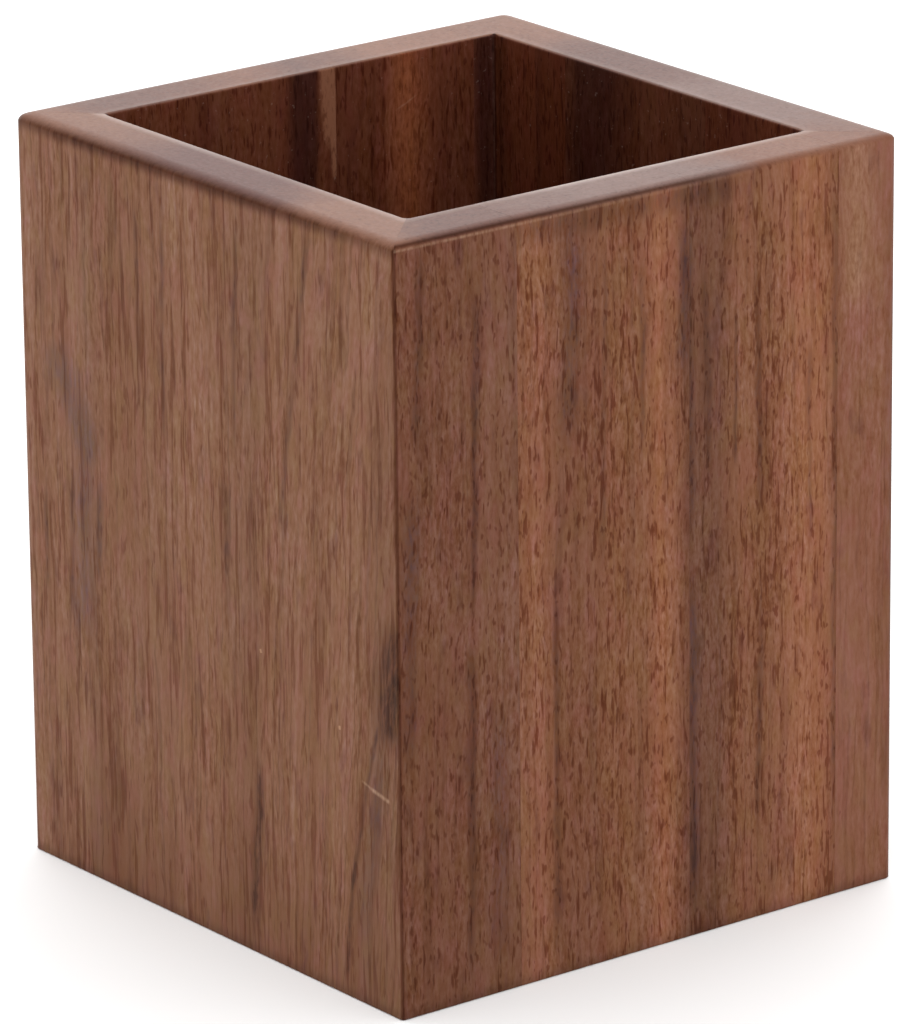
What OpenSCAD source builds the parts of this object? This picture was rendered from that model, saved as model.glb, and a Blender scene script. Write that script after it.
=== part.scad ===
// Square pen cup: four mitred walls, three of them edge-glued from staves,
// around a base panel that is captured in a groove. Millimetres, +Z up.
// The origin is the middle of the foot.

/* [Cup] */
// Outside width, along X
cup_w = 80; // [74:1:120]
// Outside depth, along Y
cup_d = 80; // [74:1:120]
// Height of the walls
cup_h = 100; // [60:1:140]
// Thickness of every wall
wall_t = 8.5; // [6:0.5:12]

/* [Edges] */
// Radius of the rounded outer edges, upright and along the rim
outer_r = 1.5; // [0.6:0.1:3]
// Radius of the eased inner edge of the rim
mouth_r = 0.5; // [0.3:0.1:2]
// Radius of the eased outer edge along the foot
foot_r = 0.5; // [0.2:0.1:1.2]

/* [Base] */
// Thickness of the base panel
base_t = 5; // [3:0.5:8]
// Height of the base panel's underside above the foot
base_lift = 3; // [2:0.5:10]
// Depth of the groove in the walls that holds the base panel
groove_depth = 3; // [1.5:0.5:4]
// Play above the base panel in its groove
groove_play = 0.1; // [0.05:0.05:0.3]
// Room left in the groove around the base panel, for the wood to move
edge_gap = 0.3; // [0.1:0.1:0.8]

/* [Front wall staves] */
// Width of the first stave, from the left corner seen from outside
front_stave_1_w = 18.8; // [12:0.2:30]
// Width of the third stave; the second takes the rest of the wall
front_stave_3_w = 24.2; // [14:0.2:34]
// Width of the fourth stave, up to the right corner
front_stave_4_w = 9.8; // [9:0.2:20]

/* [Right wall staves] */
// Width of the first stave, from the left corner seen from outside
right_stave_1_w = 27.8; // [14:0.2:36]
// Width of the third stave, up to the right corner; the second takes the rest of the wall
right_stave_3_w = 23.4; // [14:0.2:36]

/* [Back wall staves] */
// Width of the first stave, from the left corner seen from outside
back_stave_1_w = 12; // [9:0.2:24]
// Width of the second stave; the third takes the rest of the wall
back_stave_2_w = 22.8; // [16:0.2:40]

/* [Hidden] */
$fn = 64;

// Overlap that keeps a cut clear of the face it starts from
cut = 1;

// How a wall is turned from the front, its outside length, and how far its outer face is from the middle
function wall_turn(side) = side == "right" ? 90 : side == "back" ? 180 : side == "left" ? 270 : 0;
function runs_along_x(side) = side == "front" || side == "back";
function wall_len(side) = runs_along_x(side) ? cup_w : cup_d;
function wall_reach(side) = (runs_along_x(side) ? cup_d : cup_w) / 2;

// Where the seams between staves lie, from the left corner of each wall
front_seam_1 = front_stave_1_w;
front_seam_2 = cup_w - front_stave_4_w - front_stave_3_w;
front_seam_3 = cup_w - front_stave_4_w;
right_seam_1 = right_stave_1_w;
right_seam_2 = cup_d - right_stave_3_w;
back_seam_1 = back_stave_1_w;
back_seam_2 = back_seam_1 + back_stave_2_w;

groove_h = base_t + groove_play;
base_overhang = groove_depth - edge_gap;

// Walnut tones
tan_walnut = "#83604c";
red_walnut = "#7c5240";
dark_walnut = "#5f4035";
pink_walnut = "#8d5f4d";

// What rounding takes off a square corner at the origin, with the wood in +X +Y
module round_off(r) {
    difference() {
        translate([-cut, -cut]) square(r + cut);
        translate([r, r]) circle(r);
    }
}

// Upright section through a wall: X runs inward from the outer face, Y up
module wall_section() {
    difference() {
        square([wall_t, cup_h]);
        round_off(foot_r);
        translate([0, cup_h]) mirror([0, 1]) round_off(outer_r);
        translate([wall_t, cup_h]) mirror([1, 0]) mirror([0, 1]) round_off(mouth_r);
        translate([wall_t - groove_depth, base_lift]) square([groove_depth + cut, groove_h]);
    }
}

// Half section of a rounded upright corner, to be turned about its axis
module corner_section() {
    intersection() {
        translate([outer_r, 0]) mirror([1, 0]) wall_section();
        square([outer_r, cup_h]);
    }
}

// What rounding takes off the mitred tip at the +X end of a wall
module tip_waste(length) {
    translate([length / 2 - outer_r, outer_r, 0])
        difference() {
            translate([0, -outer_r - cut, -cut])
                cube([outer_r + cut, outer_r + cut, cup_h + 2 * cut]);
            rotate_extrude() corner_section();
        }
}

// Plan of a wall with a mitre at each end, the outer face on Y = 0
module wall_plan(length) {
    heel = length / 2 - wall_t;
    polygon([[-length / 2, 0], [length / 2, 0], [heel, wall_t], [-heel, wall_t]]);
}

// A whole wall, its outer face on Y = 0 and its middle on X = 0
module wall(length) {
    difference() {
        intersection() {
            translate([-length / 2, 0, 0]) rotate([90, 0, 90]) linear_extrude(length) wall_section();
            translate([0, 0, -cut]) linear_extrude(cup_h + 2 * cut) wall_plan(length);
        }
        tip_waste(length);
        mirror([1, 0, 0]) tip_waste(length);
    }
}

// The part of a wall from one seam to the next, in its place
module stave(side, from, to) {
    length = wall_len(side);
    rotate([0, 0, wall_turn(side)])
        translate([0, -wall_reach(side), 0])
            intersection() {
                wall(length);
                translate([from - length / 2, -cut, -cut])
                    cube([to - from, wall_t + 2 * cut, cup_h + 2 * cut]);
            }
}

module left_board() { color(tan_walnut) stave("left", 0, cup_d); }

module front_stave_1() { color(dark_walnut) stave("front", 0, front_seam_1); }
module front_stave_2() { color(red_walnut) stave("front", front_seam_1, front_seam_2); }
module front_stave_3() { color(dark_walnut) stave("front", front_seam_2, front_seam_3); }
module front_stave_4() { color(pink_walnut) stave("front", front_seam_3, cup_w); }

module right_stave_1() { color(red_walnut) stave("right", 0, right_seam_1); }
module right_stave_2() { color(dark_walnut) stave("right", right_seam_1, right_seam_2); }
module right_stave_3() { color(red_walnut) stave("right", right_seam_2, cup_d); }

module back_stave_1() { color(dark_walnut) stave("back", 0, back_seam_1); }
module back_stave_2() { color(red_walnut) stave("back", back_seam_1, back_seam_2); }
module back_stave_3() { color(red_walnut) stave("back", back_seam_2, cup_w); }

module base_panel() {
    panel_w = cup_w - 2 * wall_t + 2 * base_overhang;
    panel_d = cup_d - 2 * wall_t + 2 * base_overhang;
    color(red_walnut)
        translate([-panel_w / 2, -panel_d / 2, base_lift])
            cube([panel_w, panel_d, base_t]);
}

left_board();
front_stave_1();
front_stave_2();
front_stave_3();
front_stave_4();
right_stave_1();
right_stave_2();
right_stave_3();
back_stave_1();
back_stave_2();
back_stave_3();
base_panel();
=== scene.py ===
"""A square walnut pen cup, modelled board by board and set on a pale studio floor."""

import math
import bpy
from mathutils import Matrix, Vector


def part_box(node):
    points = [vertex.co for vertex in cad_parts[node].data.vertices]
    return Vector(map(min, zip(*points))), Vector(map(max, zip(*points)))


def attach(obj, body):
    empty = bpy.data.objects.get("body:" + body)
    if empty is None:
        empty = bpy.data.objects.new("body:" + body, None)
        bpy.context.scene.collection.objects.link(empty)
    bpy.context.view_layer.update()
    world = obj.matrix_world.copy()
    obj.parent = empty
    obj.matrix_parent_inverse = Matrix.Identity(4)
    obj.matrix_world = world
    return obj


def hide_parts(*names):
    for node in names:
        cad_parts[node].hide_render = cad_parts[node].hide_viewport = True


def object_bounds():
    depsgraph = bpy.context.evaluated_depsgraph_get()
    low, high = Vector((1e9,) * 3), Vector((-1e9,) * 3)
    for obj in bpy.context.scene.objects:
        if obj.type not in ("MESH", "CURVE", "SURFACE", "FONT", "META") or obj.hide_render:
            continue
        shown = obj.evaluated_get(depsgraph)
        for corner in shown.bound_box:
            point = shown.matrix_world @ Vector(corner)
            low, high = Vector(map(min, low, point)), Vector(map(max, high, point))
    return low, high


bl_info = {
    "name": "Walnut Pen Cup",
    "version": (1, 0, 0),
    "blender": (4, 5, 0),
    "location": "View3D > Sidebar > Pen Cup",
    "description": "Models a square walnut pen cup board by board, with its wood and a studio to show it in",
    "category": "Object",
}

from typing import NamedTuple

import bmesh
import bpy
from mathutils import Euler, Matrix, Vector

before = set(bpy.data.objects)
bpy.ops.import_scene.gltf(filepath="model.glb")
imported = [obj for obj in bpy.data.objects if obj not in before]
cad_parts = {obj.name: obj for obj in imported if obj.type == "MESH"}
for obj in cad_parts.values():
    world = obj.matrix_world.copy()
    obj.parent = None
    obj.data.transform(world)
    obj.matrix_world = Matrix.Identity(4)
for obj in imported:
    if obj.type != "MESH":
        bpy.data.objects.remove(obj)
CAD_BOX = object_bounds()

LOW, HIGH = CAD_BOX
WIDTH, DEPTH, HEIGHT = HIGH - LOW
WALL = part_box("left_board")[1].x - LOW.x
BASE_LOW, BASE_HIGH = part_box("base_panel")

MM = 0.001
PER_MM = 1.0 / MM
UP = Vector((0, 0, 1))
# How close a corner must be to a cut to count as lying on it.
CUT_SNAP = 1e-6
# How close a place must be to a face to count as lying on it.
CLOSE = 0.1 * MM
# A seam nearer to the end of its wall than this is the corner itself.
CORNER_ROOM = 2.0 * MM
# Faces that meet at less than this angle are shaded as one.
SMOOTH_ANGLE = math.radians(35)
# How many flats make up each quarter round.
ROUND_STEPS = 6
# In how many lengths each wall's edges are eased.
EASE_STEPS = 8

# How far each wall is turned from the front one, about the upright axis.
WALL_TURN = {"front": 0.0, "right": 90.0, "back": 180.0, "left": 270.0}

# The wood is drawn in millimetres.
WIDE = WIDTH * PER_MM
TALL = HEIGHT * PER_MM
THICK = WALL * PER_MM
# How far apart the boards' patterns lie.
SEED_STEP = 7.3
# Over what depth of a pore its edge fades.
PORE_EDGE = 0.13
# Darker wood is redder: how strongly each channel follows the wood's lightness.
RICHNESS = (0.7, 1.17, 1.9)


def length(name, description, millimetres):
    return bpy.props.FloatProperty(name=name, description=description, default=millimetres * MM,
                                   unit="LENGTH")


def angle(name, description, degrees):
    return bpy.props.FloatProperty(name=name, description=description, default=math.radians(degrees),
                                   subtype="ANGLE")


def colour(name, description, red, green, blue):
    return bpy.props.FloatVectorProperty(name=name, description=description, default=(red, green, blue),
                                         subtype="COLOR")


def tint(name, cause, red, green, blue):
    return colour(name, f"What {cause} leaves of the wood's colour", red, green, blue)


class PenCupSizes(bpy.types.PropertyGroup):
    """Sizes of the edges and joints that are finished by hand."""

    rim_at_left: length("Rim at left", "How far in the rim is rounded at the left corner", 2.6)
    rim_at_front: length("Rim at front", "How far in the rim is rounded at the front corner", 1.9)
    rim_at_right: length("Rim at right", "How far in the rim is rounded at the right corner", 1.5)
    rim_at_back: length("Rim at back", "How far in the rim is rounded at the back corner", 1.8)
    rim_flatness: bpy.props.FloatProperty(
        name="Rim flatness", description="How many times wider than deep the rim's outer edge is rounded",
        default=2.3)
    left_corner: length("Left corner", "Radius of the upright edge at the left corner", 1.8)
    front_corner: length("Front corner", "Radius of the upright edge at the front corner", 0.5)
    right_corner: length("Right corner", "Radius of the upright edge at the right corner", 1.2)
    back_corner: length("Back corner", "Radius of the upright edge at the back corner", 1.4)
    mouth: length("Mouth", "Radius of the rim's inner edge", 0.4)
    inner_corner: length("Inner corners", "Radius of the finish that fills the inner corners", 0.9)
    foot: length("Foot edge", "Radius of the outer edge along the foot", 0.5)
    glue_line: length("Glue line", "Width of the fine chamfer along each glued edge", 0.015)
    groove_depth: length("Groove depth", "Depth of the groove that holds the base panel", 3.0)
    groove_play: length("Groove play", "Room above the base panel in its groove", 0.1)
    base_edge: length("Base edge", "Radius of the base panel's edges", 0.3)


class PenCupTones(bpy.types.PropertyGroup):
    """The walnut's colours."""

    fawn: colour("Fawn", "Palest bands of the left board", 0.187, 0.087, 0.050)
    tan: colour("Tan", "Even light brown of the left board", 0.166, 0.074, 0.040)
    hide: colour("Hide", "Darker bands of the left board", 0.152, 0.068, 0.037)
    amber: colour("Amber", "Brightest bands", 0.216, 0.085, 0.043)
    orange: colour("Orange", "Bright bands", 0.184, 0.072, 0.038)
    brown: colour("Brown", "Middle brown", 0.161, 0.064, 0.032)
    hazel: colour("Hazel", "Between brown and umber", 0.142, 0.056, 0.030)
    umber: colour("Umber", "Greyish brown", 0.123, 0.048, 0.026)
    olive: colour("Olive", "Darkest greyish brown", 0.115, 0.046, 0.025)
    plum: colour("Plum", "Purplish grey brown", 0.134, 0.055, 0.031)
    dark: colour("Dark", "Dark heartwood", 0.065, 0.024, 0.016)
    pink: colour("Pink", "Pinkish smooth wood", 0.174, 0.070, 0.041)
    rust: colour("Rust", "Red heartwood", 0.150, 0.057, 0.029)
    sap: colour("Sap", "Pale strip of sapwood", 0.296, 0.163, 0.096)
    rim: colour("Rim", "End grain of the rim", 0.171, 0.069, 0.041)
    rim_warm: colour("Warm rim", "Redder end grain of the rim", 0.193, 0.084, 0.051)
    rim_cool: colour("Cool rim", "Cooler end grain of the rim", 0.122, 0.054, 0.041)
    rim_grey: colour("Grey rim", "Greyer end grain of the rim", 0.100, 0.038, 0.031)
    # Partly the end grain's colour, partly painted sheen.
    rim_pale_sheen: colour("Pale rim", "Palest end grain of the rim", 0.168, 0.097, 0.082)
    honey: colour("Honey", "Bright streak inside the back wall", 0.420, 0.165, 0.060)
    scratch: colour("Scratch", "Bare wood in a scratch", 0.400, 0.250, 0.165)
    # This tone also paints the highlight along the rim's inner edge, and pale specks of dust inside.
    worn: colour("Worn edges", "Wood where the edges are worn", 0.370, 0.274, 0.230)
    stain: tint("Stain", "a dark line", 0.44, 0.38, 0.38)
    violet_stain: tint("Violet stain", "a purplish line", 0.50, 0.52, 0.74)
    mauve_stain: tint("Mauve stain", "a pale purplish patch", 0.70, 0.73, 0.96)
    # Painted shadow: darkens the left board towards its foot, where less light reaches near the floor.
    foot_stain: tint("Foot stain", "the stain above the foot", 0.72, 0.62, 0.58)
    vein_shade: tint("Vein shade", "a fine vein", 0.54, 0.46, 0.39)
    rosy_shade: tint("Rosy shade", "a rosy patch", 1.03, 0.97, 1.07)
    mossy_shade: tint("Mossy shade", "a greenish patch", 0.98, 1.02, 0.91)
    mottle_shade: tint("Mottle shade", "a mottled patch", 0.82, 0.78, 0.84)
    pore_shade: tint("Pore shade", "an open pore", 0.38, 0.13, 0.0)
    mitre_shade: tint("Mitre shade", "the joint in a corner", 0.52, 0.42, 0.37)
    # Painted shadow along the very foot of every board.
    painted_foot_shadow: tint("Ground shade", "the dirt at the very foot", 0.70, 0.68, 0.68)
    rim_shade: tint("Rim shade", "the line under the rim", 0.36, 0.24, 0.16)


class PenCupStage(bpy.types.PropertyGroup):
    """The camera, floor and lights."""

    azimuth: angle("Azimuth", "Where the camera stands round the cup", -37.7)
    elevation: angle("Elevation", "How far the camera looks down", 18.05)
    roll: angle("Roll", "How far the camera leans", -0.55)
    aim: bpy.props.FloatVectorProperty(
        name="Aim", description="The point in the middle of the picture",
        default=(0.0, -0.74 * MM, 48.23 * MM), subtype="XYZ", unit="LENGTH")
    distance: length("Distance", "From the camera to the point it looks at", 1016.7)
    lens: bpy.props.FloatProperty(
        name="Lens", description="Focal length for a 36 mm long side, in millimetres", default=277.9)
    floor: colour("Floor", "Colour of the floor", 0.95, 0.95, 0.95)
    sky: bpy.props.FloatProperty(name="Sky", description="Strength of the even white light", default=1.15)
    key: bpy.props.FloatProperty(
        name="Key", description="Power of the light above the camera, in watts", default=5.4)
    backdrop: bpy.props.FloatProperty(
        name="Backdrop", description="Power of the wide light behind, in watts", default=15.0)


def deselect_everything():
    if bpy.context.object and bpy.context.object.mode != "OBJECT":
        bpy.ops.object.mode_set(mode="OBJECT")
    bpy.ops.object.select_all(action="DESELECT")


def make_active(piece):
    deselect_everything()
    piece.select_set(True)
    bpy.context.view_layer.objects.active = piece


def block(name, low, high):
    """A box between two corners, at the origin with its place in its mesh."""
    deselect_everything()
    bpy.ops.mesh.primitive_cube_add(size=1.0, location=(low + high) / 2, scale=high - low)
    piece = bpy.context.object
    piece.name = piece.data.name = name
    bpy.ops.object.transform_apply(location=True, rotation=True, scale=True)
    return piece


def pick(piece, kind, test):
    """Selects the faces, edges or corners, in edit mode, whose test holds."""
    bpy.ops.mesh.select_mode(type={"faces": "FACE", "edges": "EDGE", "verts": "VERT"}[kind])
    bpy.ops.mesh.select_all(action="DESELECT")
    shape = bmesh.from_edit_mesh(piece.data)
    for element in getattr(shape, kind):
        if test(element):
            element.select_set(True)
    shape.select_flush_mode()
    bmesh.update_edit_mesh(piece.data)


def apply_modifier(piece, kind, **settings):
    make_active(piece)
    modifier = piece.modifiers.new(kind.title(), kind)
    for key, value in settings.items():
        setattr(modifier, key, value)
    bpy.ops.object.modifier_apply(modifier=modifier.name)


def smooth(piece):
    make_active(piece)
    bpy.ops.object.shade_smooth_by_angle(angle=SMOOTH_ANGLE)
    apply_modifier(piece, "WEIGHTED_NORMAL", mode="FACE_AREA", weight=50, keep_sharp=True)


def inner_reach(place):
    """How far a place is out from the middle, as a square."""
    return max(abs(place.x), abs(place.y))


def lies_flat(face):
    return abs(face.normal.z) > 0.9


def stands_upright(face):
    return abs(face.normal.z) < 0.1


def outer_radius(edge, sizes):
    """The radius of an outer edge of the ring, and none for its other edges."""
    a, b = (vertex.co for vertex in edge.verts)
    middle = (a + b) / 2
    if max(abs(middle.x) - WIDTH / 2, abs(middle.y) - DEPTH / 2) < -CLOSE:
        return 0.0
    if abs(a.z - b.z) > HEIGHT / 2:
        if min(abs(middle.x), abs(middle.y)) < WIDTH / 2 - CLOSE:
            return 0.0
        if middle.y < 0:
            return sizes.front_corner if middle.x < 0 else sizes.right_corner
        return sizes.left_corner if middle.x < 0 else sizes.back_corner
    if middle.z < CLOSE:
        return sizes.foot
    # The rim's radius changes evenly along each wall from corner to corner.
    right = (middle.x - LOW.x) / WIDTH
    back = (middle.y - LOW.y) / DEPTH
    near = sizes.rim_at_front * (1 - right) + sizes.rim_at_right * right
    far = sizes.rim_at_left * (1 - right) + sizes.rim_at_back * right
    return near * (1 - back) + far * back


def cut_inside(piece, level, reach):
    """Cuts a loop round the inside at one height."""
    pick(piece, "faces", lambda face: stands_upright(face)
         and inner_reach(face.calc_center_median()) < reach)
    bpy.ops.mesh.bisect(plane_co=(0, 0, level), plane_no=UP, threshold=CUT_SNAP)


def stretch(piece, factor):
    """Stretches a shape down from the rim. An edge rounded in between ends up wider than it is deep."""
    make_active(piece)
    bpy.ops.object.mode_set(mode="EDIT")
    bpy.ops.mesh.select_all(action="SELECT")
    bpy.ops.transform.resize(value=(1, 1, factor), center_override=(0, 0, HIGH.z))
    bpy.ops.object.mode_set(mode="OBJECT")


def ring(sizes):
    """The four walls in one, with their edges rounded and the base's groove cut."""
    piece = block("ring", LOW, HIGH)
    make_active(piece)
    bpy.ops.object.mode_set(mode="EDIT")
    pick(piece, "faces", lies_flat)
    bpy.ops.mesh.inset(thickness=WALL)
    bpy.ops.mesh.bridge_edge_loops()
    inner = WIDTH / 2 - WALL
    reach = inner + CLOSE
    pick(piece, "edges", lambda edge: abs(edge.verts[0].co.z - edge.verts[1].co.z) > HEIGHT / 2
         and inner_reach(edge.verts[0].co) < reach)
    bpy.ops.mesh.bevel(offset=sizes.inner_corner, segments=ROUND_STEPS, affect="EDGES")

    # The mouth opens out along a quarter circle, one loop at a time.
    turns = [math.pi / 2 * step / ROUND_STEPS for step in range(ROUND_STEPS + 1)]
    levels = [HIGH.z - sizes.mouth * (1 - math.sin(turn)) for turn in turns]
    for level in levels[:-1]:
        cut_inside(piece, level, reach)
    for turn, level in reversed(list(zip(turns, levels))[1:]):
        pick(piece, "verts", lambda vertex: abs(vertex.co.z - level) < CUT_SNAP
             and inner_reach(vertex.co) < reach)
        grow = (inner + sizes.mouth * (1 - math.cos(turn))) / inner
        bpy.ops.transform.resize(value=(grow, grow, 1), center_override=(0, 0, level))

    groove_top = BASE_HIGH.z + sizes.groove_play
    for level in (BASE_LOW.z, groove_top):
        cut_inside(piece, level, reach)
    pick(piece, "faces", lambda face: BASE_LOW.z < face.calc_center_median().z < groove_top
         and inner_reach(face.calc_center_median()) < reach)
    bpy.ops.mesh.extrude_region_shrink_fatten(
        TRANSFORM_OT_shrink_fatten={"value": -sizes.groove_depth, "use_even_offset": True})

    # The groove runs square into each corner, behind the finish that fills the corner.
    groove = inner + sizes.groove_depth
    for x_side, y_side in ((-1, -1), (-1, 1), (1, -1), (1, 1)):
        pick(piece, "verts", lambda vertex: reach < inner_reach(vertex.co) < groove + CLOSE
             and vertex.co.x * x_side > 0 and vertex.co.y * y_side > 0 and vertex.co.z < groove_top + CLOSE)
        bpy.ops.transform.resize(value=(0, 0, 1), center_override=(x_side * groove, y_side * groove, 0))
    bpy.ops.mesh.select_all(action="SELECT")
    bpy.ops.mesh.remove_doubles(threshold=CUT_SNAP)

    # The outer edges are rounded by hand, so their radius changes along each wall.
    for step in range(1, EASE_STEPS):
        place = LOW + (HIGH - LOW) * step / EASE_STEPS
        for axis in (Vector((1, 0, 0)), Vector((0, 1, 0))):
            pick(piece, "faces", lambda face: face.calc_center_median().z > HIGH.z - CUT_SNAP
                 or inner_reach(face.calc_center_median()) > WIDTH / 2 - CUT_SNAP)
            bpy.ops.mesh.bisect(plane_co=place, plane_no=axis, threshold=CUT_SNAP)
    shape = bmesh.from_edit_mesh(piece.data)
    weight = shape.edges.layers.float.new("bevel_weight_edge")
    radii = {edge: outer_radius(edge, sizes) for edge in shape.edges}
    widest = max(radii.values())
    for edge, radius in radii.items():
        edge[weight] = radius / widest
    bmesh.update_edit_mesh(piece.data)
    stretch(piece, sizes.rim_flatness)
    apply_modifier(piece, "BEVEL", width=widest, segments=ROUND_STEPS, limit_method="WEIGHT")
    stretch(piece, 1 / sizes.rim_flatness)
    return piece


def saw(source, name, cuts, glue_line):
    """A copy of a shape, cut back to the inner side of each cut: a point on it and its outward normal."""
    make_active(source)
    bpy.ops.object.duplicate()
    piece = bpy.context.object
    piece.name = piece.data.name = name
    bpy.ops.object.mode_set(mode="EDIT")
    bpy.ops.mesh.select_mode(type="EDGE")
    for point, normal in cuts:
        bpy.ops.mesh.select_all(action="SELECT")
        bpy.ops.mesh.bisect(plane_co=point, plane_no=normal, use_fill=True, clear_outer=True,
                            threshold=CUT_SNAP)
        bpy.ops.mesh.bevel(offset=glue_line, segments=1, affect="EDGES")
    bpy.ops.mesh.select_all(action="SELECT")
    bpy.ops.mesh.remove_doubles(threshold=0.001 * MM)
    bpy.ops.object.mode_set(mode="OBJECT")
    return piece


def wall_cuts(side, low, high):
    """The cuts that leave one stave of a wall: its two mitres, and a seam where it has one."""
    turn = Matrix.Rotation(math.radians(WALL_TURN[side]), 3, "Z")
    along = turn @ Vector((1, 0, 0))
    outward = turn @ Vector((0, -1, 0))
    reach = (WIDTH if side in ("front", "back") else DEPTH) / 2 - CORNER_ROOM
    cuts = [(Vector(), (along - outward).normalized()), (Vector(), (-along - outward).normalized())]
    first, last = sorted((low.dot(along), high.dot(along)))
    if first > -reach:
        cuts.append((along * first, -along))
    if last < reach:
        cuts.append((along * last, along))
    return cuts


def seat(piece, node, wood):
    """Gives a finished piece its wood and puts it in the place of its solid."""
    piece.data.materials.clear()
    piece.data.materials.append(wood)
    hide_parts(node)
    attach(piece, "root")


def build_wall(context, side, nodes):
    sizes = context.scene.pen_cup_sizes
    source = ring(sizes)
    for node in nodes:
        piece = saw(source, node + "_wood", wall_cuts(side, *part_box(node)), sizes.glue_line)
        smooth(piece)
        seat(piece, node, walnut(node, side))
    bpy.data.objects.remove(source)


class Wood:
    """A material's node tree, with short calls for the nodes that wood is made of."""

    def __init__(self, name):
        self.material = bpy.data.materials.new(name)
        self.material.use_nodes = True
        self.nodes = self.material.node_tree.nodes
        self.links = self.material.node_tree.links
        self.shader = self.nodes["Principled BSDF"]

    def add(self, kind, inputs=(), **settings):
        node = self.nodes.new("ShaderNode" + kind)
        for key, value in settings.items():
            setattr(node, key, value)
        for key, value in dict(inputs).items():
            self.feed(node.inputs[key], value)
        return node

    def feed(self, socket, value):
        if isinstance(value, bpy.types.NodeSocket):
            self.links.new(value, socket)
        else:
            socket.default_value = value

    def math(self, operation, *values, clamp=False):
        return self.add("Math", enumerate(values), operation=operation, use_clamp=clamp).outputs[0]

    def total(self, *values):
        result = values[0]
        for value in values[1:]:
            result = self.math("ADD", result, value)
        return result

    def product(self, *values):
        result = values[0]
        for value in values[1:]:
            result = self.math("MULTIPLY", result, value)
        return result

    def swing(self, noise, amount):
        """Turns noise about its middle into a swing of up to this amount each way."""
        return self.math("MULTIPLY_ADD", noise, 2 * amount, -amount)

    def step(self, value, low, high):
        """A soft step, 0 at low and 1 at high; low may be the larger of the two."""
        if low > high:
            return self.math("SUBTRACT", 1.0, self.step(value, high, low))
        node = self.add("MapRange", {"Value": value, "From Min": low, "From Max": high},
                        interpolation_type="SMOOTHSTEP")
        return node.outputs["Result"]

    def line(self, value, centre, half_width):
        """A soft line, 1 where the value is at its centre."""
        distance = self.math("ABSOLUTE", self.math("SUBTRACT", value, centre))
        return self.step(distance, half_width, 0.0)

    def stretch(self, vector, width, length, seed):
        """Coordinates for a pattern of this width and length along the grain, in millimetres."""
        node = self.add("Mapping", {"Vector": vector, "Location": (seed, seed * 1.7, seed * 0.6),
                                    "Scale": (1 / width, 1 / width, 1 / length)})
        return node.outputs[0]

    def noise(self, vector, width, length, seed, detail=2.0, roughness=0.55):
        node = self.add("TexNoise", {"Vector": self.stretch(vector, width, length, seed), "Scale": 1.0,
                                     "Detail": detail, "Roughness": roughness})
        return node.outputs[0]

    def mix(self, factor, a, b, blend="MIX"):
        node = self.add("Mix", data_type="RGBA", blend_type=blend)
        for socket, value in zip((node.inputs[0], node.inputs[6], node.inputs[7]), (factor, a, b)):
            self.feed(socket, value)
        return node.outputs[2]

    def ramp(self, factor, stops):
        node = self.add("ValToRGB", {"Fac": factor})
        elements = node.color_ramp.elements
        while len(elements) < len(stops):
            elements.new(1.0)
        for element, (place, colour) in zip(elements, stops):
            element.position = place
            element.color = (*colour, 1.0)
        return node.outputs[0]

    def vector(self, operation, output, *values):
        return self.add("VectorMath", enumerate(values), operation=operation).outputs[output]

    def point(self, x, y, z):
        return self.add("CombineXYZ", {0: x, 1: y, 2: z}).outputs[0]

    def rgb(self, red, green, blue):
        return self.add("CombineColor", {0: red, 1: green, 2: blue}).outputs[0]


class Vessels(NamedTuple):
    """Open pores: how far apart they lie across and along the grain, how crowded and how dark they are."""

    width: float
    length: float
    reach: float
    depth: float


class Mark(NamedTuple):
    """A line on a board from one place to another, in millimetres across and up the wall.

    Its core is the share of its half width that doesn't fade.
    """

    across: float
    up: float
    to_across: float
    to_up: float
    half_width: float
    strength: float
    tone: str = "stain"
    core: float = 0.0


class Look(NamedTuple):
    """One board's figure. Bands are tones at places across the wall, seen from outside."""

    bands: tuple
    pores: Vessels = Vessels(0.60, 3.6, 0.405, 0.66)
    dots: Vessels = Vessels(0.55, 1.6, 0.415, 0.57)
    fleck_width: float = 0.42
    fleck_length: float = 1.2
    flecks: float = 0.52
    fibre_length: float = 3.5
    fibres: float = 0.36
    streaks: float = 0.28
    veins: float = 0.35
    quiver: float = 0.15
    bow: float = 1.2
    fan: float = 0.0
    marks: tuple = ()
    inner_marks: tuple = ()
    # How much the inside is darkened: painted shade.
    inside: tuple = (0.66, 0.48, 0.45)


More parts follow.
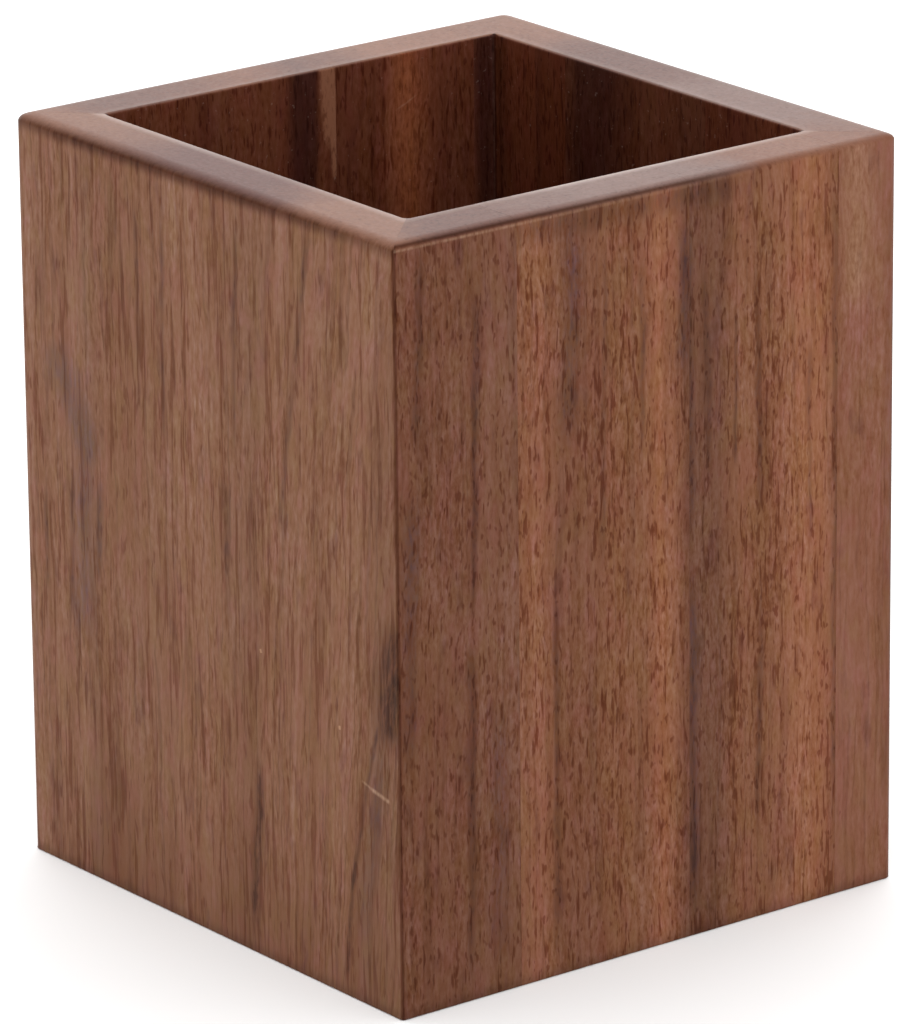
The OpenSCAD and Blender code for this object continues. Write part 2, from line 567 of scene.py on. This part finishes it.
LOOKS = {
    "left_board": Look(
        bands=((0, "fawn"), (3.5, "fawn"), (5.5, "tan"), (8, "fawn"), (10.5, "tan"), (13, "fawn"),
               (15.5, "hide"), (18.5, "tan"), (32.5, "tan"), (34.5, "fawn"), (40, "fawn"), (44, "tan"),
               (50.5, "hide"), (53.5, "fawn"), (57, "tan"), (60, "fawn"), (63, "tan"), (67, "fawn"),
               (70, "fawn"), (73, "tan"), (76, "hide"), (80, "hide")),
        pores=Vessels(0.8, 11, 0.43, 0.44), dots=Vessels(0.62, 3.4, 0.40, 0.38),
        fleck_width=0.5, fleck_length=1.6, flecks=0.38, fibre_length=9, fibres=0.3, streaks=0.32, veins=0.45,
        quiver=0.4, bow=0.8, fan=0.0030,
        marks=(
            Mark(80, 53, 77, 34, 4.2, 0.8), Mark(79.6, 46, 78.6, 36, 2.2, 0.6),
            Mark(77, 38, 71.6, 6, 2.4, 0.36, "violet_stain"), Mark(75.8, 38.5, 72.0, 24, 0.7, 0.8),
            Mark(72.8, 27, 70.1, 14, 0.7, 0.75), Mark(70.9, 18, 68.2, 1, 0.8, 0.8),
            Mark(62.6, 98, 60, 80, 0.9, 0.6), Mark(59.6, 78, 55.6, 57, 0.8, 0.55),
            Mark(48, 97, 46.8, 64, 0.9, 0.5), Mark(45.8, 62, 44.8, 48, 0.7, 0.45),
            Mark(32.4, 95, 31.8, 60, 0.7, 0.5), Mark(26.8, 96, 26.6, 70, 0.7, 0.45),
            Mark(17.6, 56, 16.8, 40, 1.1, 0.6, "violet_stain"), Mark(11.6, 56, 10.8, 35, 0.8, 0.55),
            Mark(5.6, 52, 5.2, 36, 0.8, 0.5), Mark(51.2, 27, 49.6, 3, 1.6, 0.9),
            Mark(7, 72, 17, 56, 4.5, 1.0, "mauve_stain"), Mark(14, 60, 13, 30, 3.2, 0.7, "mauve_stain"),
            # Painted shadow over the lower part of the board.
            Mark(0, -4, 80, -4, 26, 0.55, "foot_stain"),
            Mark(72.0, 29.6, 75.0, 28.9, 0.3, 0.3, "scratch"),
            Mark(73.8, 29.1, 78.4, 28.2, 0.45, 0.42, "scratch"),
            Mark(51.4, 41.3, 51.6, 40.7, 0.35, 0.8, "sap"), Mark(67.7, 35.6, 67.9, 35.0, 0.35, 0.8, "sap"),
        ),
    ),
    "front_stave_1": Look(
        bands=((0, "umber"), (9, "umber"), (12, "umber"), (13, "plum"), (19, "plum")),
        marks=(
            Mark(4.2, 100, 2.8, 72, 1.2, 0.55), Mark(2.4, 70, 1.4, 30, 2.0, 0.5, "violet_stain"),
            Mark(12.9, 95, 11.3, 48, 0.9, 0.6), Mark(11.3, 50, 11.0, 0, 1.1, 0.6),
            Mark(15.5, 40, 15.5, 2, 2.6, 0.4, "violet_stain"),
        ),
    ),
    "front_stave_2": Look(
        bands=((18.8, "brown"), (20.5, "orange"), (22.5, "orange"), (25.5, "hazel"), (30, "hazel"),
               (34, "brown"), (38.5, "brown"), (40, "orange"), (41.5, "amber"), (43.5, "orange"),
               (45.5, "umber")),
        marks=(
            Mark(27.8, 99, 26.8, 68, 2.4, 0.55, "violet_stain"), Mark(24.8, 54, 24.6, 0, 0.8, 0.6),
            Mark(32.4, 96, 32.0, 50, 0.8, 0.5), Mark(38.4, 93, 38.4, 64, 0.7, 0.45),
            Mark(45.2, 96, 45.0, 74, 1.6, 0.6, "violet_stain"), Mark(14, 98, 58, 98, 3.0, 0.45),
        ),
    ),
    "front_stave_3": Look(
        bands=((45.5, "olive"), (51, "olive"), (54, "brown"), (58.5, "brown"), (61, "orange"),
               (64, "amber"), (67.5, "amber"), (69.5, "orange"), (70.5, "brown")),
        pores=Vessels(0.55, 4.4, 0.42, 0.62),
        marks=(
            Mark(45.7, 98, 46.2, 50, 1.3, 0.6, "violet_stain"),
            Mark(46.2, 52, 47.0, 0, 1.4, 0.65, "violet_stain"),
            Mark(48.6, 90, 49.0, 58, 0.8, 0.5), Mark(53.6, 84, 53.4, 60, 0.7, 0.5),
            Mark(56.8, 88, 57.8, 52, 0.8, 0.6), Mark(57.7, 50, 57.4, 8, 0.7, 0.5),
            Mark(65.4, 78, 65.8, 46, 0.6, 0.45), Mark(69.9, 99, 69.9, 0, 0.8, 0.45),
            Mark(14, 98, 58, 98, 3.0, 0.45),
        ),
    ),
    "front_stave_4": Look(
        bands=((70, "pink"), (75, "pink"), (80, "pink")),
        pores=Vessels(0.8, 4.0, 0.30, 0.4), dots=Vessels(0.8, 1.8, 0.32, 0.35),
        flecks=0.35, fibres=0.3,
        marks=(Mark(73.2, 106, 73.2, 76, 4, 0.3, "sap"), Mark(80, 104, 80, -4, 3, 0.3)),
    ),
    "right_stave_1": Look(
        bands=((0, "rust"), (5, "brown"), (9, "hazel"), (13, "orange"), (17, "brown"), (22, "hazel"),
               (28, "rust")),
        marks=(Mark(6, 98, 6.8, 10, 0.9, 0.5), Mark(18.5, 92, 18, 34, 0.8, 0.45),
               Mark(24.5, 72, 25, 0, 1.4, 0.45, "violet_stain")),
        # The right wall's inside gets the darkest painted shade.
        inside=(0.45, 0.28, 0.23)),
    "right_stave_2": Look(
        bands=((28, "plum"), (33, "umber"), (37, "hazel"), (42, "umber"), (49, "dark"), (54, "dark"),
               (57, "umber")),
        marks=(Mark(35, 99, 34.6, 40, 0.9, 0.5), Mark(44, 80, 44.6, 0, 1.1, 0.5)),
        inside=(0.50, 0.35, 0.29)),
    "right_stave_3": Look(
        bands=((56, "rust"), (61, "rust"), (62, "umber"), (63, "orange"), (68, "orange"), (70, "umber"),
               (74, "hazel"), (80, "umber")),
        marks=(Mark(62, 100, 62.4, 20, 0.8, 0.6), Mark(71, 88, 70.4, 8, 0.9, 0.5)),
        inside=(0.44, 0.28, 0.23)),
    "back_stave_1": Look(
        bands=((0, "umber"), (4, "dark"), (11, "dark"), (13, "rust")),
        marks=(Mark(3, 98, 3.6, 20, 0.9, 0.5),),
        inner_marks=(Mark(8.65, 104, 8.65, 40, 0.3, 0.35, "worn"),)),
    "back_stave_2": Look(
        bands=((11, "rust"), (18, "rust"), (20, "amber"), (26, "amber"), (28, "rust"), (35, "hazel")),
        marks=(Mark(17.4, 96, 17, 44, 0.8, 0.5), Mark(29.6, 84, 30.2, 6, 0.9, 0.5)),
        inner_marks=(Mark(23.4, 120, 22.6, 20, 3.6, 0.34, "honey"),
                     Mark(25, 92.3, 21.4, 94, 0.2, 0.5, "scratch"))),
    "back_stave_3": Look(
        bands=((34, "rust"), (37.4, "rust"), (38.4, "dark"), (41.4, "dark"), (43.5, "rust"), (50, "brown"),
               (56, "hazel"), (61, "brown"), (66, "rust"), (72, "hazel"), (80, "rust")),
        marks=(Mark(52, 98, 51, 40, 0.9, 0.5), Mark(60, 70, 61, 2, 1.0, 0.5),
               Mark(70, 95, 69.4, 55, 0.8, 0.45), Mark(66, 44, 66.6, 2, 1.8, 0.4, "violet_stain")),
        inner_marks=(Mark(36.4, 106, 35.4, 88, 1.8, 1, "sap", 0.5),
                     Mark(35.8, 99, 35.1, 83.5, 0.8, 1, "sap", 0.3))),
    "base_panel": Look(bands=((0, "rust"), (25, "brown"), (50, "rust"), (80, "brown"))),
}


class Rim(NamedTuple):
    """One wall's rim. Tones and strengths are given at places across the wall, seen from outside.

    Just under the rim runs a dark line, with a pale stripe below it, partly wear and partly painted
    highlight.
    The line reaches so many millimetres in, and starts, is darkest and ends so many down. The mouth is how
    strongly a painted highlight, with a smoother finish, lies along the wall's inner edge.
    """

    tones: tuple
    reach: float
    start: float
    darkest: float
    end: float
    line: tuple
    worn: tuple
    mouth: tuple


RIMS = {
    "left": Rim(
        tones=((0, "rim_warm"), (12, "rim_warm"), (32, "rim_grey"), (50, "rim_grey"), (60, "rim_warm")),
        reach=2.6, start=-0.1, darkest=0.8, end=2.5, line=((3, 0.7), (14, 1), (54, 1), (64, 0.8), (76, 0.5)),
        worn=((0, 0), (80, 0)), mouth=((0, 0.35), (28, 0.4), (46, 0.2), (70, 0.35))),
    "front": Rim(
        tones=((0, "rim_warm"), (3, "rim_warm"), (9, "rim_cool"), (18, "rim_cool"), (30, "rim_pale_sheen"),
               (50, "rim_pale_sheen"), (57, "rim"), (68, "rim_warm"), (78, "rim")),
        reach=1.5, start=0.02, darkest=0.36, end=0.72, line=((0, 1), (46, 0.9), (58, 0.2), (74, 0)),
        worn=((0, 1), (8, 0.95), (15, 0.75), (30, 0.42), (46, 0.25), (60, 0)),
        mouth=((0, 0.2), (20, 0.2), (32, 0.5), (56, 0.5), (76, 0.25))),
    "right": Rim(
        tones=((0, "rim"), (3, "rim"), (14, "rim_pale_sheen"), (34, "rim_pale_sheen"), (42, "rim_cool"),
               (56, "rim_cool"), (70, "rim_warm")),
        reach=1.5, start=0.0, darkest=0.4, end=1.0, line=((0, 0.3), (80, 0.6)), worn=((0, 0.2), (80, 0.4)),
        mouth=((0, 0.1), (80, 0.1))),
    "back": Rim(
        tones=((0, "rim_warm"), (28, "rim_warm"), (38, "rim_cool"), (48, "rim"), (62, "rim_cool"),
               (70, "rim_cool"), (77, "rim_warm")),
        reach=1.8, start=0.0, darkest=0.6, end=1.8, line=((0, 0.5), (80, 0.8)), worn=((0, 0.2), (80, 0)),
        mouth=((0, 0.1), (80, 0.1))),
}


class Board(Wood):
    """One board's oiled walnut. Its colour is built up step by step, from the bands to the edges' wear and
    painted highlights.
    """

    def __init__(self, node, side):
        super().__init__(node + "_walnut")
        self.tones = bpy.context.scene.pen_cup_tones
        self.look = LOOKS[node]
        self.side = side
        self.seed = SEED_STEP * (1 + list(LOOKS).index(node))

    def shade(self, mask, tint):
        """Multiplies the colour by a tint."""
        self.colour = self.mix(mask, self.colour, (*tint, 1.0), "MULTIPLY")

    def paint(self, mask, tone):
        """Covers the colour with a tone."""
        self.colour = self.mix(mask, self.colour, (*tone, 1.0))

    def place_on_wall(self):
        """Finds places across the wall, in from its outer face and up it, in millimetres."""
        self.wall = self.add("Mapping", {
            "Vector": self.add("TexCoord").outputs["Object"], "Scale": (PER_MM,) * 3,
            "Rotation": (0, 0, -math.radians(WALL_TURN[self.side])),
            "Location": (WIDE / 2, DEPTH / 2 * PER_MM, 0)}).outputs[0]
        self.across, self.deep, self.up = self.add("SeparateXYZ", {0: self.wall}).outputs
        self.share = self.math("DIVIDE", self.across, WIDE)
        self.rim = self.product(self.step(self.up, TALL - 0.9, TALL - 0.1),
                                self.step(self.deep, THICK - 0.02, THICK - 0.16))
        self.below_rim = self.math("SUBTRACT", 1.0, self.rim)

    def lay_grain(self):
        """Bends the grain, and grows the noises along it that colours, pores and marks share."""
        look, seed = self.look, self.seed
        bow = self.swing(self.noise(self.wall, width=40, length=120, seed=seed), look.bow)
        ripple = self.swing(self.noise(self.wall, width=4, length=14, seed=seed + 3, detail=4.0), 0.9)
        quiver = self.swing(self.noise(self.wall, width=1.5, length=4.5, seed=seed + 13), look.quiver)
        self.bent = self.total(self.across, bow, ripple, quiver)
        if look.fan:
            past = self.math("MAXIMUM", self.math("SUBTRACT", self.across, WIDE / 2), 0.0)
            drop = self.math("MULTIPLY_ADD", self.up, -look.fan, look.fan * TALL / 2)
            self.bent = self.math("MULTIPLY_ADD", past, drop, self.bent)
        straighter = self.math("ADD", self.across, self.math("MULTIPLY_ADD", ripple, 0.35, bow))
        self.grain = self.point(self.bent, self.deep, self.up)
        self.rows = self.point(straighter, self.deep, self.up)
        self.spot = self.point(self.math("ADD", self.across, ripple), 0.0, self.up)

        self.streaks = self.noise(self.grain, width=1.1, length=70, seed=seed, detail=4.0, roughness=0.6)
        self.fibres = self.noise(self.grain, width=0.6, length=look.fibre_length, seed=seed + 1,
                                 roughness=0.6)
        self.flecks = self.noise(self.grain, width=look.fleck_width, length=look.fleck_length,
                                 seed=seed + 2, roughness=0.6)
        self.clouds = self.noise(self.grain, width=7, length=24, seed=seed + 4, detail=3.0)
        self.mottle = self.noise(self.grain, width=2.2, length=7, seed=seed + 11, detail=3.0)

    def colour_bands(self):
        """Lays the bands of colour, and makes them lighter and darker along the grain."""
        look, seed, tones = self.look, self.seed, self.tones
        bands = [(at / WIDE, getattr(tones, tone)) for at, tone in look.bands]
        self.colour = self.ramp(self.math("DIVIDE", self.bent, WIDE), bands)
        lively = self.step(self.noise(self.grain, width=8, length=26, seed=seed + 8), 0.35, 0.65)
        lively = self.math("MULTIPLY_ADD", lively, 0.7, 0.65)
        fine = self.math("ADD", self.swing(self.fibres, look.fibres), self.swing(self.flecks, look.flecks))
        lightness = self.total(1.0, self.swing(self.streaks, look.streaks), self.product(fine, lively),
                               self.swing(self.clouds, 0.19))
        lightness = self.rgb(*(self.math("POWER", lightness, power) for power in RICHNESS))
        self.colour = self.mix(1.0, self.colour, lightness, "MULTIPLY")

        veins = self.line(self.noise(self.grain, width=1.8, length=80, seed=seed + 9, detail=1.0), 0.5, 0.07)
        broken = self.step(self.noise(self.grain, width=2.5, length=15, seed=seed + 12), 0.42, 0.58)
        self.shade(self.product(veins, broken, look.veins), tones.vein_shade)
        patches = self.noise(self.grain, width=2.6, length=6, seed=seed + 5, detail=3.0)
        self.shade(self.step(patches, 0.52, 0.64), tones.rosy_shade)
        self.shade(self.step(patches, 0.48, 0.36), tones.mossy_shade)
        self.shade(self.step(self.mottle, 0.56, 0.72), tones.mottle_shade)

    def pores(self, vessels, seed, crowd):
        """A soft mask of short dashes along the grain, dots on end grain."""
        level = self.noise(self.rows, vessels.width, vessels.length, seed, detail=1.0)
        depth = self.math("SUBTRACT", self.math("ADD", crowd, vessels.reach), level)
        return self.product(self.step(depth, 0.0, PORE_EDGE), vessels.depth)

    def open_pores(self):
        """Opens the pores, in straight rows and crowded along the darker streaks."""
        columns = self.noise(self.rows, width=0.7, length=45, seed=self.seed + 10, detail=1.0)
        crowd = self.total(self.swing(columns, -0.10), self.swing(self.streaks, -0.04),
                           self.swing(self.clouds, -0.06))
        coarse = self.pores(self.look.pores, self.seed + 6, crowd)
        self.dots = self.pores(self.look.dots, self.seed + 7, crowd)
        self.pore = self.product(self.math("MAXIMUM", coarse, self.dots), self.below_rim)
        self.shade(self.pore, self.tones.pore_shade)

    def mark(self, mark):
        """A soft mask of a line from one place to another, fading at its ends."""
        start = Vector((mark.across, 0, mark.up))
        run = Vector((mark.to_across, 0, mark.to_up)) - start
        away = self.vector("SUBTRACT", 0, self.spot, start)
        along = self.vector("DOT_PRODUCT", 1, away, run / run.length_squared)
        along = self.math("ADD", along, 0.0, clamp=True)
        foot = self.vector("MULTIPLY", 0, run, self.point(along, along, along))
        distance = self.vector("DISTANCE", 1, away, foot)
        ends = self.product(self.step(along, 0.0, 0.2), self.step(along, 1.0, 0.8), mark.strength)
        return self.product(self.step(distance, mark.half_width, mark.half_width * mark.core), ends)

    def draw_marks(self):
        """Draws the lines and stains of this board alone, broken up by its clouds and flecks."""
        self.patchy = self.math("ADD", self.swing(self.clouds, 0.5),
                                self.math("MULTIPLY_ADD", self.mottle, 1.2, 0.4))
        self.grainy = self.math("MULTIPLY_ADD", self.flecks, 3.0, -0.5)
        on_face = self.product(self.step(self.deep, 3.0, 1.0), self.patchy, self.grainy)
        on_inside = self.product(self.step(self.deep, THICK - 1.0, THICK - 0.2), self.grainy)
        for marks, where in ((self.look.marks, on_face), (self.look.inner_marks, on_inside)):
            for mark in marks:
                strength = self.math("ADD", self.product(self.mark(mark), where), 0.0, clamp=True)
                # Tones whose names end in stain are multiplied in: real stains, and the painted shadow above
                # the left board's foot.
                lay = self.shade if mark.tone.endswith("stain") else self.paint
                lay(strength, getattr(self.tones, mark.tone))

    def finish_rim(self):
        """Lays the rim's smooth end grain, with tones that run on from stave to stave.
        Where the rim is palest, its tone is partly painted sheen.
        """
        wander = self.swing(self.noise(self.wall, width=9, length=9, seed=3.1 + WALL_TURN[self.side]), 0.10)
        tones = [(at / WIDE, getattr(self.tones, tone)) for at, tone in RIMS[self.side].tones]
        rim_tone = self.ramp(self.math("ADD", self.share, wander), tones)
        rings = self.total(1.0, self.swing(self.streaks, 0.14), self.swing(self.flecks, 0.18),
                           self.product(self.dots, -0.35))
        rim_tone = self.mix(1.0, rim_tone, self.rgb(rings, rings, rings), "MULTIPLY")
        self.colour = self.mix(self.product(self.rim, 0.9), self.colour, rim_tone)

    def darken_recesses(self):
        """Darkens the inside with painted shade, specks it with pale dust, darkens the joints in the mitred
        corners, and paints a shadow along the foot.
        """
        # Painted shade on the inside, darker than the lamps alone make it.
        inside = self.product(self.step(self.deep, THICK - 0.7, THICK - 0.1), self.below_rim)
        self.shade(inside, self.look.inside)
        dust = self.noise(self.wall, width=0.5, length=0.5, seed=self.seed + 14, detail=1.0)
        self.paint(self.product(self.step(dust, 0.70, 0.80), inside, 0.16), self.tones.worn)
        left_end = self.math("SUBTRACT", self.across, self.deep)
        right_end = self.math("SUBTRACT", self.math("SUBTRACT", WIDE, self.across), self.deep)
        mitre = self.step(self.math("MINIMUM", left_end, right_end), 0.5, 0.15)
        self.shade(self.product(mitre, self.below_rim), self.tones.mitre_shade)
        # Painted shadow along the foot.
        self.shade(self.step(self.up, 2.0, 0.0), self.tones.painted_foot_shadow)

    def paint_edge_wear_and_highlights(self):
        """Draws the dark line under the rim, a stripe of wear and painted highlight below it,
        and a painted highlight at the mouth.
        """
        edge = RIMS[self.side]
        line, stripe_wear_and_highlight, mouth = (self.ramp(self.share, [(at / WIDE, (strength,) * 3) for at, strength in places])
                             for places in (edge.line, edge.worn, edge.mouth))
        down = self.math("SUBTRACT", TALL, self.up)
        outer = self.step(self.deep, edge.reach, edge.reach * 0.2)
        under_rim = self.product(self.step(down, edge.start, edge.darkest),
                                 self.step(down, edge.end, edge.darkest))
        self.shade(self.product(under_rim, outer, line), self.tones.rim_shade)
        # The pale stripe below the dark line is partly wear and partly a painted highlight.
        stripe = self.line(down, edge.end + 0.12, 0.30)
        self.paint(self.product(stripe, outer, stripe_wear_and_highlight, self.grainy, self.patchy, 0.26), self.tones.scratch)
        # Painted highlight: a pale tone along the rim's inner edge, where the finish is also made smoother.
        self.mouth = self.product(self.step(self.deep, THICK - 1.9, THICK - 0.3), self.rim, mouth)
        self.paint(self.mouth, self.tones.worn)

    def oil(self):
        """Sets the satin sheen and the fine relief of the surface."""
        roughness = self.total(0.46, self.swing(self.fibres, 0.10), self.product(self.pore, 0.2),
                               self.product(self.mouth, -0.25))
        relief = self.math("SUBTRACT", self.product(self.fibres, 0.4), self.pore)
        bump = self.add("Bump", {"Strength": 0.3, "Distance": 0.08 * MM, "Height": relief})
        self.feed(self.shader.inputs["Base Color"], self.colour)
        self.feed(self.shader.inputs["Roughness"], roughness)
        self.feed(self.shader.inputs["Normal"], bump.outputs[0])
        self.shader.inputs["Specular IOR Level"].default_value = 0.06


def walnut(node, side):
    """Oiled walnut for one board, with its own bands and figure."""
    board = Board(node, side)
    board.place_on_wall()
    board.lay_grain()
    board.colour_bands()
    board.open_pores()
    board.draw_marks()
    board.finish_rim()
    board.darken_recesses()
    board.paint_edge_wear_and_highlights()
    board.oil()
    return board.material


class PENCUP_OT_left_board(bpy.types.Operator):
    """Model the left wall, one wide board"""

    bl_idname = "pencup.left_board"
    bl_label = "Left board"

    def execute(self, context):
        build_wall(context, "left", ["left_board"])
        return {"FINISHED"}


class PENCUP_OT_front_staves(bpy.types.Operator):
    """Model the staves of the front wall"""

    bl_idname = "pencup.front_staves"
    bl_label = "Front staves"

    def execute(self, context):
        build_wall(context, "front", [f"front_stave_{number}" for number in (1, 2, 3, 4)])
        return {"FINISHED"}


class PENCUP_OT_right_staves(bpy.types.Operator):
    """Model the staves of the right wall"""

    bl_idname = "pencup.right_staves"
    bl_label = "Right staves"

    def execute(self, context):
        build_wall(context, "right", [f"right_stave_{number}" for number in (1, 2, 3)])
        return {"FINISHED"}


class PENCUP_OT_back_staves(bpy.types.Operator):
    """Model the staves of the back wall"""

    bl_idname = "pencup.back_staves"
    bl_label = "Back staves"

    def execute(self, context):
        build_wall(context, "back", [f"back_stave_{number}" for number in (1, 2, 3)])
        return {"FINISHED"}


class PENCUP_OT_base_panel(bpy.types.Operator):
    """Model the base panel that sits in the walls' groove"""

    bl_idname = "pencup.base_panel"
    bl_label = "Base panel"

    def execute(self, context):
        piece = block("base_panel_wood", BASE_LOW, BASE_HIGH)
        make_active(piece)
        bpy.ops.object.mode_set(mode="EDIT")
        bpy.ops.mesh.select_all(action="SELECT")
        bpy.ops.mesh.bevel(offset=context.scene.pen_cup_sizes.base_edge, segments=ROUND_STEPS // 2,
                            affect="EDGES")
        bpy.ops.object.mode_set(mode="OBJECT")
        smooth(piece)
        seat(piece, "base_panel", walnut("base_panel", "front"))
        return {"FINISHED"}


def soft_light(name, location, target, width, height, watts):
    """A wide area light that looks at a point."""
    deselect_everything()
    bpy.ops.object.light_add(type="AREA", location=location)
    light = bpy.context.object
    light.name = name
    light.data.shape = "RECTANGLE"
    light.data.size = width
    light.data.size_y = height
    light.data.energy = watts
    light.rotation_euler = (Vector(target) - Vector(location)).to_track_quat("-Z", "Y").to_euler()


class PENCUP_OT_stage(bpy.types.Operator):
    """Set up the floor, the light and the camera"""

    bl_idname = "pencup.stage"
    bl_label = "Stage"

    def execute(self, context):
        stage = context.scene.pen_cup_stage
        deselect_everything()
        bpy.ops.mesh.primitive_plane_add(size=6.0, location=(0, 0, LOW.z))
        floor = context.object
        floor.name = "floor"
        paint = bpy.data.materials.new("floor_paint")
        paint.use_nodes = True
        shader = paint.node_tree.nodes["Principled BSDF"]
        shader.inputs["Base Color"].default_value = (*stage.floor, 1)
        shader.inputs["Roughness"].default_value = 0.8
        shader.inputs["Specular IOR Level"].default_value = 0.1
        floor.data.materials.append(paint)

        world = bpy.data.worlds.new("studio")
        world.use_nodes = True
        sky = world.node_tree.nodes["Background"]
        sky.inputs["Color"].default_value = (1, 1, 1, 1)
        sky.inputs["Strength"].default_value = stage.sky
        context.scene.world = world

        middle = (0, 0, HEIGHT / 2)
        away = Vector((-math.sin(stage.azimuth), math.cos(stage.azimuth), 0))
        behind_cup = away * 1.3 + UP * 0.5
        above_camera = -away * 1.1 + UP * 0.8
        soft_light("backdrop", behind_cup, middle, width=2.4, height=0.9, watts=stage.backdrop)
        soft_light("key", above_camera, middle, width=1.0, height=1.0, watts=stage.key)

        deselect_everything()
        bpy.ops.object.camera_add()
        camera = context.object
        camera.name = "camera"
        camera.data.lens = stage.lens
        camera.data.sensor_width = 36.0
        camera.data.clip_end = 20.0
        turn = Euler((math.pi / 2 - stage.elevation, 0, stage.azimuth)).to_matrix()
        camera.location = Vector(stage.aim) + turn @ Vector((0, 0, stage.distance))
        camera.rotation_euler = (turn @ Matrix.Rotation(stage.roll, 3, "Z")).to_euler()
        context.scene.camera = camera
        context.scene.view_settings.view_transform = "Standard"
        return {"FINISHED"}


OPERATORS = (
    PENCUP_OT_stage,
    PENCUP_OT_left_board,
    PENCUP_OT_front_staves,
    PENCUP_OT_right_staves,
    PENCUP_OT_back_staves,
    PENCUP_OT_base_panel,
)
SETTINGS = {"pen_cup_sizes": PenCupSizes, "pen_cup_tones": PenCupTones, "pen_cup_stage": PenCupStage}


class PENCUP_PT_sidebar(bpy.types.Panel):
    """The cup's settings and its operators"""

    bl_label = "Pen Cup"
    bl_idname = "PENCUP_PT_sidebar"
    bl_space_type = "VIEW_3D"
    bl_region_type = "UI"
    bl_category = "Pen Cup"

    def draw(self, context):
        for name, group in SETTINGS.items():
            box = self.layout.box()
            for setting in group.__annotations__:
                box.prop(getattr(context.scene, name), setting)
        for operator in OPERATORS:
            self.layout.operator(operator.bl_idname)


CLASSES = (*SETTINGS.values(), *OPERATORS, PENCUP_PT_sidebar)


def register():
    for cls in CLASSES:
        bpy.utils.register_class(cls)
    for name, group in SETTINGS.items():
        setattr(bpy.types.Scene, name, bpy.props.PointerProperty(type=group))


def unregister():
    for name in SETTINGS:
        delattr(bpy.types.Scene, name)
    for cls in reversed(CLASSES):
        bpy.utils.unregister_class(cls)


def main():
    register()
    bpy.ops.pencup.stage()
    bpy.ops.pencup.left_board()
    bpy.ops.pencup.front_staves()
    bpy.ops.pencup.right_staves()
    bpy.ops.pencup.back_staves()
    bpy.ops.pencup.base_panel()


if __name__ == "__main__":
    main()
